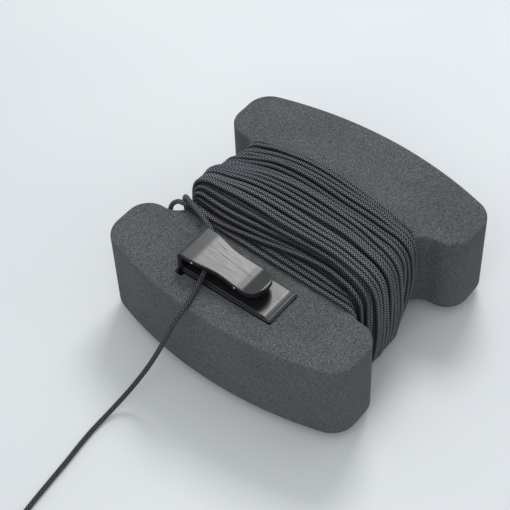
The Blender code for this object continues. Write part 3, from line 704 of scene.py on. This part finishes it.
def painted_groove_light(points, sides, lines):
    """How open each point of the turns lies, as painted light and shade: 1 on a crown, 0 deep in
    the grooves between turns, where the colour is painted darkest.

    At each sample the crowns beside a point form a lid, h + H/2 sqrt(1 - (g / W)^2) at a gap g
    along Y, and the point closes up as it sinks under that lid.
    """
    own = points.reshape(-1, sides, 3)
    place = np.arange(len(own)) % SAMPLES
    waist = WAIST + (0, MIDDLE_Z)
    risen = ((own[..., ::2] - waist[place][:, None]) * FACING[place][:, None]).sum(axis=2)
    crowns = ((lines[..., ::2] - waist) * FACING).sum(axis=2)
    gap = own[..., 1][..., None] - lines[:, place, 1].T[:, None, :]
    lid = crowns.T[place][:, None, :] + WOUND_HEIGHT / 2 * np.sqrt(
        np.clip(1 - (gap / WOUND_WIDTH) ** 2, 0, 1))
    lid = np.where(np.abs(gap) < WOUND_WIDTH, lid, -99).max(axis=2)
    return np.clip(1 - (lid - risen) / SHADE_DEPTH, 0, 1) ** 1.5


def build_winding():
    """The wound cord, as tubes along its turns: the inner layers, and the outer ones.

    The outer one leaves the winding on the last turn, above the -X end of the waist's top, and
    runs on into the slack loop.
    """
    lines = winding_lines()
    outward = np.broadcast_to(np.column_stack([FACING[:, 0], np.zeros(SAMPLES), FACING[:, 1]]),
                              lines.shape)
    inner_turns = sum(layer[0] for layer in LAYERS[:3])
    rng = np.random.default_rng(5)
    tones = np.repeat(rng.uniform(0, 1, len(lines)), SAMPLES)
    tones = np.convolve(np.pad(tones, 20, mode="edge"), np.ones(41) / 41, mode="valid")
    path, out = lines.reshape(-1, 3), outward.reshape(-1, 3)
    on_top = np.where(FACING[:, 1] < 1, np.inf, 0)
    leave = len(path) - SAMPLES + int(np.argmin(np.abs(WAIST[:, 0] + LEAVES_AT) + on_top))
    tip = spline([*path[leave - 6:leave:3], (-47.2, -26.5, 62.2), *LOOP_ROUTE[:2]], 2.0)[3:]
    split = inner_turns * SAMPLES
    pieces = {
        "wound_cord_inner": (path[:split + 1], out[:split + 1], tones[:split + 1], 10),
        "wound_cord_outer": (np.vstack([path[split:leave - 3], tip]),
                             np.vstack([out[split:leave - 3],
                                        np.tile((0.0, 0.0, 1.0), (len(tip), 1))]),
                             np.concatenate([tones[split:leave - 3],
                                             np.full(len(tip), FREE_PAINTED_LIGHT)]), 16),
    }
    for name, (line, facing, tone, sides) in pieces.items():
        points, faces, uv = tube(line, WOUND_HEIGHT / 2, WOUND_WIDTH / 2, sides, facing)
        # Painted shade: 0.7 of the attribute is how openly each point lies, darkest in the grooves,
        # and 0.3 differs at random from turn to turn
        lit = 0.3 * tone[:, None] + 0.7 * painted_groove_light(points, sides, lines)
        piece = add_piece(name, points, faces, POLYESTER, "block", uv, lit.ravel())
        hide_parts("wound_cord")


build_winding()


# ------------------------------------------------------------------------------------ foam block

FACE_RADIUS = 221.0      # flanges' outer faces, in plan
TIP_OUTER = 13.9         # flange tips' outer and inner corners
TIP_INNER = 12.5
EDGE_ROUND = 1.3         # softened cut edges
POCKET_LEFT, POCKET_NEAR, POCKET_FAR = 0.5, 0.3, 0.15     # room at the clip's -X, -Y and + sides
POCKET_STEP = (4.7, 2.1)     # wider cut beside the clip's end wall: along X, along Y
POCKET_CORNER = 0.7      # radius of the pocket's corners, in plan


def block_outline():
    """Plan of the block, anticlockwise: four mirrored quarters of tangent arcs."""
    half_length, half_width = FOAM_HIGH[0], FOAM_HIGH[1]
    face_centre = half_width - FACE_RADIUS
    tip_x = half_length - TIP_OUTER
    tip_y = face_centre + math.sqrt((FACE_RADIUS - TIP_OUTER) ** 2 - tip_x ** 2)
    tangent = math.degrees(math.atan2(tip_y - face_centre, tip_x))
    quarter = np.vstack([
        [(WAIST_HALF, y) for y in (5.0, 12.0)],
        arc((WAIST_HALF + FILLET, INNER_Y - FILLET), FILLET, 180, 90, 20),
        arc((half_length - TIP_INNER, INNER_Y + TIP_INNER), TIP_INNER, -90, 0, 20),
        arc((tip_x, tip_y), TIP_OUTER, 0, tangent, 18),
        arc((0, face_centre), FACE_RADIUS, tangent, 90, 30),
    ])
    half = np.vstack([quarter, quarter[::-1] * (-1, 1)])
    whole = np.vstack([half, half[::-1] * (1, -1)])
    return whole[np.linalg.norm(whole - np.roll(whole, 1, axis=0), axis=1) > 0.02]


def push_in(outline, distance):
    """Move each point of an anticlockwise outline inwards along its normal."""
    along = np.roll(outline, -1, axis=0) - np.roll(outline, 1, axis=0)
    along /= np.linalg.norm(along, axis=1)[:, None]
    return outline + distance * np.column_stack([-along[:, 1], along[:, 0]])


def round_corners(corners, radius):
    """A right-angled outline with each corner turned by a quarter circle."""
    corners = np.asarray(corners, float)
    came = corners - np.roll(corners, 1, axis=0)
    came /= np.linalg.norm(came, axis=1)[:, None]
    goes = np.roll(came, -1, axis=0)
    angle = np.linspace(0, np.pi / 2, 6)
    centre = corners + radius * (goes - came)
    ring = (centre[:, None, :] - radius * goes[:, None, :] * np.cos(angle)[None, :, None]
            + radius * came[:, None, :] * np.sin(angle)[None, :, None])
    return ring.reshape(-1, 2)


def build_foam():
    """The foam block: its plan carried up Z, with soft edges, and a pocket sunk in its top.

    Ring k of the edge is the plan pushed in by r (1 - cos a) at a height r (1 - sin a) from the
    face, for a from 0 to 90 degrees; a flat ring inside it keeps the top's shading level.
    """
    outline = block_outline()
    count = len(outline)
    angle = np.radians(np.linspace(90, 0, 8))
    inward, rise = EDGE_ROUND * (1 - np.cos(angle)), EDGE_ROUND * (1 - np.sin(angle))
    levels = [(EDGE_ROUND + 0.5, 0.0), *zip(inward, rise)]
    height = TOP_Z - BOTTOM_Z
    middle = [(0.0, height * share) for share in (0.2, 0.5, 0.8)]
    levels = levels + middle + [(push, height - up) for push, up in levels[::-1]]
    rings = [np.column_stack([push_in(outline, push), np.full(count, BOTTOM_Z + up)])
             for push, up in levels]
    points = np.vstack(rings)
    faces = [list(face) for face in grid_faces(len(rings), count)]
    top = rings[-1]
    left, right = CLIP_LOW[0] - POCKET_LEFT, CLIP_HIGH[0] + POCKET_FAR
    near, far = CLIP_LOW[1] - POCKET_NEAR, CLIP_HIGH[1] + POCKET_FAR
    step_x, step_y = left + POCKET_STEP[0], near - POCKET_STEP[1]
    hole = round_corners([(left, step_y), (step_x, step_y), (step_x, near), (right, near),
                          (right, far), (left, far)], POCKET_CORNER)
    lip = [(-0.8, 0.0), (-0.25, 0.0), (-0.08, -0.08), (0.0, -0.3), (0.0, -4.0), (0.0, -9.0)]
    hole_rings = [np.column_stack([push_in(hole, push), np.full(len(hole), TOP_Z + drop)])
                  for push, drop in lip]
    start = len(points)
    points = np.vstack([points, *hole_rings])
    faces += [list(face[::-1]) for face in grid_faces(len(lip), len(hole), offset=start)]
    faces.append(list(start + (len(lip) - 1) * len(hole) + np.arange(len(hole))))
    faces.append(list(range(count))[::-1])
    top_start = (len(rings) - 1) * count
    names = np.concatenate([top_start + np.arange(count), start + np.arange(len(hole))])
    flat = tessellate_polygon([[Vector(p) for p in top], [Vector(p) for p in hole_rings[0]]])
    for triangle in flat:
        ring = names[list(triangle)]
        first, second, third = points[ring]
        upright = np.cross(second - first, third - first)[2] > 0
        faces.append(list(ring if upright else ring[::-1]))
    piece = add_piece("foam_body", points, faces, FOAM, "block", sharp=50)
    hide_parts("foam_block")


build_foam()


# ------------------------------------------------------------------------------------------ clip

WALL = 2.7               # end wall's thickness
ARM = 3.0                # lever's thickness
BEND_OUT, BEND_IN = 2.4, 1.2     # U-bend's outer and inner radius
CLIP_LEFT, CLIP_RIGHT = CLIP_LOW[0], CLIP_HIGH[0]
CLIP_HALF = 11.0         # half the plate's and the wall's width
LEG_HALF = 10.4          # half the toe leg's width
LEG_DEPTH = 12.0         # legs' ends under the foam's top
ARM_TOP = CLIP_HIGH[2]
ARM_WIDTH, ARM_WAISTED, ARM_SPREAD = 21.6, 5.2, 0.9   # at the root, what it loses, what it regains
ARM_CORNER = 0.42        # radius along the lever's edges
TAB_START, TAB_TIP = 10.2, 18.8
TAB_SWELL = 0.5          # extra thickness under the tab
TOE = 2.6                # run over which the plate's end rolls down
TOE_DROP = 1.15
SKIRT_STEP = 0.7         # width of the step along the plate's sides
# The lever's top, as straight runs that meet at soft creases: (x, height below its highest)
ARM_CREASES = [(-26.6, 0.0), (-19.4, 0.25), (5.4, 3.05), (TAB_START, 3.25), (TAB_TIP, 1.3)]


def arm_height(x):
    """Height of the lever's top at x: straight runs, each crease eased over two millimetres."""
    places, drops = np.array(ARM_CREASES).T
    spread = np.linspace(-1.1, 1.1, 9)
    drop = np.interp(np.asarray(x)[..., None] + spread, places, drops)
    beyond = np.clip(np.asarray(x)[..., None] + spread - places[-1], 0, None)
    slope = (drops[-1] - drops[-2]) / (places[-1] - places[-2])
    return ARM_TOP - (drop + beyond * slope).mean(axis=-1)


def arm_half_width(x):
    """Half the lever's width at x: full at the root, waisted, then round over the tab."""
    root = CLIP_LEFT + 5.5
    into = smoothstep((x - root) / 19.0)
    past = smoothstep((x - root - 19.0) / 14.5)
    full = ARM_WIDTH - ARM_WAISTED * into + ARM_SPREAD * past
    tab = np.clip((x - TAB_START) / (TAB_TIP - TAB_START), 0, 1)
    return full / 2 * np.clip(1 - tab ** 2.5, 0, 1) ** 0.45


def rounded_section(half_width, half_depth, radius):
    """Closed section of a bar, its corners turned, with a point beside each turn.

    Columns are the places across and the places through, one row of points per station.
    """
    radius = np.minimum(radius, 0.8 * np.minimum(half_width, half_depth))
    angle = np.radians(np.linspace(0, 90, 5))
    across, through = [], []
    for quarter, (sx, sz) in enumerate([(1, 1), (-1, 1), (-1, -1), (1, -1)]):
        turn = angle if quarter % 2 == 0 else angle[::-1]
        for a in turn:
            across.append(sx * (half_width - radius + radius * np.cos(a)))
            through.append(sz * (half_depth - radius + radius * np.sin(a)))
        beside_x = half_width - radius - np.minimum(0.3, 0.4 * (half_width - radius))
        beside_z = half_depth - radius - np.minimum(0.3, 0.4 * (half_depth - radius))
        if quarter % 2 == 0:
            across.append(sx * beside_x)
            through.append(sz * half_depth)
            across.append(-sx * beside_x)
            through.append(sz * half_depth)
        else:
            across.append(sx * half_width)
            through.append(sz * beside_z)
            across.append(sx * half_width)
            through.append(-sz * beside_z)
    return np.stack(across, axis=-1), np.stack(through, axis=-1)


def build_arm():
    """Clip's leg, end wall, U-bend and lever: one strip of sections between two lines.

    The outer line climbs the wall, turns the bend and runs along the lever's top; the inner line
    is the strip's other face.  Each section spans the two lines and the strip's width.
    """
    wall_z = np.array([-LEG_DEPTH, -11.6, -9.0, -4.0, 0.0, 2.0, 4.0, 6.0, 7.6]) + TOP_Z
    bend = np.radians(np.linspace(180, 90, 11))
    tab_turn = np.array([15, 30, 45, 58, 68, 76, 82, 86, 88.5])
    run = np.concatenate([np.linspace(CLIP_LEFT + BEND_OUT + 0.3, TAB_START, 60),
                          TAB_START + (TAB_TIP - TAB_START) * np.sin(np.radians(tab_turn))])
    inner_run = np.maximum(run, CLIP_LEFT + WALL + BEND_IN + 0.05 + 0.85 * (run - run[0]))
    swell = TAB_SWELL * smoothstep((run - TAB_START + 1.0) / 5.0)
    outer = np.vstack([
        np.column_stack([np.full(len(wall_z), CLIP_LEFT), wall_z]),
        np.column_stack([CLIP_LEFT + BEND_OUT + BEND_OUT * np.cos(bend),
                         ARM_TOP - BEND_OUT + BEND_OUT * np.sin(bend)]),
        np.column_stack([run, arm_height(run)]),
    ])
    inner = np.vstack([
        np.column_stack([np.full(len(wall_z), CLIP_LEFT + WALL), wall_z]),
        np.column_stack([CLIP_LEFT + WALL + BEND_IN + BEND_IN * np.cos(bend),
                         ARM_TOP - ARM - BEND_IN + BEND_IN * np.sin(bend)]),
        np.column_stack([inner_run, arm_height(inner_run) - ARM - swell]),
    ])
    thin = 1 - 0.25 * smoothstep((run - TAB_TIP + 1.2) / 1.2) ** 2
    middle, half = (outer + inner) / 2, (outer - inner) / 2
    half[-len(run):] *= thin[:, None]
    depth = np.linalg.norm(half, axis=1)
    through_axis = half / depth[:, None]
    bend_width = CLIP_HALF - (CLIP_HALF - ARM_WIDTH / 2) * smoothstep(np.linspace(0, 1, len(bend)))
    width = np.concatenate([np.full(len(wall_z), CLIP_HALF), bend_width, arm_half_width(run)])
    across, through = rounded_section(width, depth, ARM_CORNER)
    points = np.stack([middle[:, :1] + through_axis[:, :1] * through,
                       CLIP_Y + across,
                       middle[:, 1:] + through_axis[:, 1:] * through], axis=-1)
    rows, columns = across.shape
    faces = [list(face) for face in grid_faces(rows, columns)]
    faces += [list(range(columns))[::-1], list((rows - 1) * columns + np.arange(columns))]
    piece = add_piece("clip_arm", points.reshape(-1, 3), faces, ACETAL, None,
                      sharp=40)
    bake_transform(piece)
    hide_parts("clip_lever")


def build_plate():
    """Clip's plate on the foam, with its stepped sides and rolled toe, and the toe's leg.

    A half section (across, up) is carried along X; its top follows a shallow bow and slopes
    down before the toe.  At a share t of its run the toe has dropped by
    D (1 - (1 - t^1.8)^(1/1.8)), and it has rounded corners.
    """
    x = np.concatenate([np.linspace(CLIP_LEFT + 0.6, 23.0, 24), [24.0, 24.2, 25.4, 26.3, 26.5],
                        CLIP_RIGHT - TOE + TOE * np.sin(np.radians(np.linspace(0, 88, 18)))])
    bow = 2.5 - 0.9 * smoothstep((x + 6) / 44)
    ledge = 0.55 * np.clip((x - 24.1) / 2.3, 0, 1)
    turned = np.clip((x - (CLIP_RIGHT - TOE)) / TOE, 0, 1)
    top = TOP_Z + bow - ledge - TOE_DROP * (1 - (1 - turned ** 1.8) ** (1 / 1.8))
    low = np.full_like(x, TOP_Z - 0.5)
    step = np.minimum(TOP_Z + 0.75, top - 0.25)
    nose = np.clip((x - (CLIP_RIGHT - 2.2)) / 2.2, 0, 1)
    skirt = CLIP_HALF - 2.2 * (1 - np.sqrt(1 - nose ** 2))
    body = skirt - SKIRT_STEP
    rows = [(0.0 * x, low), (skirt - 0.3, low), (skirt, low + 0.3), (skirt, step - 0.25),
            (skirt - 0.07, step - 0.07), (skirt - 0.25, step), (body + 0.12, step),
            (body, step + 0.12)]
    soft = np.minimum(0.45, (top - step) * 0.6)
    for a in np.radians(np.linspace(0, 90, 5)):
        rows.append((body - soft + soft * np.cos(a), top - soft + soft * np.sin(a)))
    rows += [(body - 1.0, top), (0 * x + 5.0, top), (0.0 * x, top)]
    across = np.stack([row[0] for row in rows], axis=-1)
    up = np.stack([row[1] for row in rows], axis=-1)
    across = np.concatenate([across, -across[:, -2:0:-1]], axis=1)
    up = np.concatenate([up, up[:, -2:0:-1]], axis=1)
    points = np.stack([np.broadcast_to(x[:, None], across.shape), CLIP_Y + across, up], axis=-1)
    count = across.shape[1]
    faces = [list(face) for face in grid_faces(len(x), count)]
    faces += [list(range(count))[::-1], list((len(x) - 1) * count + np.arange(count))]
    points = points.reshape(-1, 3)
    leg_profile = np.array([(CLIP_RIGHT - 0.3, TOP_Z), (CLIP_RIGHT - 3.0, TOP_Z),
                            (CLIP_RIGHT - 3.0, TOP_Z - 9.0), (CLIP_RIGHT - 3.9, TOP_Z - 9.2),
                            (CLIP_RIGHT - 2.9, TOP_Z - LEG_DEPTH),
                            (CLIP_RIGHT - 0.3, TOP_Z - LEG_DEPTH)])
    leg = np.vstack([np.column_stack([leg_profile[:, 0], np.full(6, CLIP_Y + side * LEG_HALF),
                                      leg_profile[:, 1]]) for side in (-1, 1)])
    start = len(points)
    faces += [list(face) for face in grid_faces(2, 6, offset=start)]
    faces += [list(start + np.arange(6))[::-1], list(start + 6 + np.arange(6))]
    piece = add_piece("clip_plate", np.vstack([points, leg]), faces, ACETAL, "block",
                      sharp=40)
    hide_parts("clip_base")


def build_pin_ends():
    """Two small domed pin ends in the clip's near side: half an ellipsoid each."""
    rows, columns, radius, dome = 7, 16, 0.8, 0.45
    tilt, turn = np.meshgrid(np.linspace(0.03, np.pi / 2, rows),
                             np.linspace(0, 2 * np.pi, columns, endpoint=False), indexing="ij")
    for name, x, body in (("pin_end_root", -20.0, "block"), ("pin_end_tab", 4.8, "lever")):
        z = arm_height(np.array([x]))[0] - 1.9
        y = CLIP_Y - arm_half_width(np.array([x]))[0]
        points = np.stack([x + radius * np.sin(tilt) * np.cos(turn),
                           y + 0.1 - dome * np.cos(tilt),
                           z + radius * np.sin(tilt) * np.sin(turn)], axis=-1).reshape(-1, 3)
        faces = [list(face) for face in grid_faces(rows, columns)]
        faces += [list(range(columns))[::-1], list((rows - 1) * columns + np.arange(columns))]
        add_piece(name, points, faces, STEEL, body)


build_arm()
build_plate()
build_pin_ends()


# ------------------------------------------------------------------------------ floor and light

ROOM_LIGHT, ROOM_SEEN = 0.64, 0.86   # the surroundings' strength as a light, and as seen


def build_floor():
    """Matt white laminate table top: pale, cool and even."""
    material, tree, shader = start_material("white_laminate_table", Roughness=0.55)
    place = add_node(tree, "ShaderNodeTexCoord").outputs["Object"]
    cloud = add_node(tree, "ShaderNodeTexNoise", Vector=place, Scale=grain_scale(333.3),
                     Detail=2.0).outputs["Fac"]
    colour = add_ramp(tree, cloud, [(0.3, "D9DCDF"), (0.7, "E2E5E7")])
    connect(tree, shader, Base_Color=colour)
    mesh = bpy.data.meshes.new("floor")
    side = np.linspace(-4, 4, 3)
    x, y = np.meshgrid(side, side)
    mesh.from_pydata(np.column_stack([x.ravel(), y.ravel(), np.zeros(9)]), [],
                     grid_faces(3, 3, wrap=False).tolist())
    mesh.materials.append(material)
    floor = bpy.data.objects.new("floor", mesh)
    bpy.context.scene.collection.objects.link(floor)


def add_softbox(name, place, size, watts):
    """A white rectangular soft light turned to face the winder; place and size in metres."""
    data = bpy.data.lights.new(name, "AREA")
    data.shape, data.size, data.size_y = "RECTANGLE", size[0], size[1]
    data.energy = watts
    light = bpy.data.objects.new(name, data)
    bpy.context.scene.collection.objects.link(light)
    light.location = place
    aim = Vector((0, 0, 0.03)) - Vector(place)
    light.rotation_euler = aim.to_track_quat("-Z", "Y").to_euler()


def set_world():
    """Pale even surroundings, seen by the lens and in gloss, and dimmer as a light."""
    world = bpy.data.worlds.new("pale_room")
    world.use_nodes = True
    bpy.context.scene.world = world
    tree = world.node_tree
    background = tree.nodes["Background"]
    path = add_node(tree, "ShaderNodeLightPath")
    seen = calc(tree, "MAXIMUM", calc(tree, "MAXIMUM", path.outputs["Is Camera Ray"],
                                      path.outputs["Is Glossy Ray"]),
                path.outputs["Is Transmission Ray"])
    background.inputs["Color"].default_value = linear("F1F5F8")
    strength = calc(tree, "MULTIPLY_ADD", seen, ROOM_SEEN - ROOM_LIGHT, ROOM_LIGHT)
    tree.links.new(strength, background.inputs["Strength"])


build_floor()
add_softbox("window_light", (-0.20, 0.50, 0.83), (0.32, 0.32), 3.9)
add_softbox("room_fill", (0.30, -0.62, 0.92), (0.7, 0.7), 2.5)
set_world()
bpy.context.scene.view_settings.view_transform = "Standard"
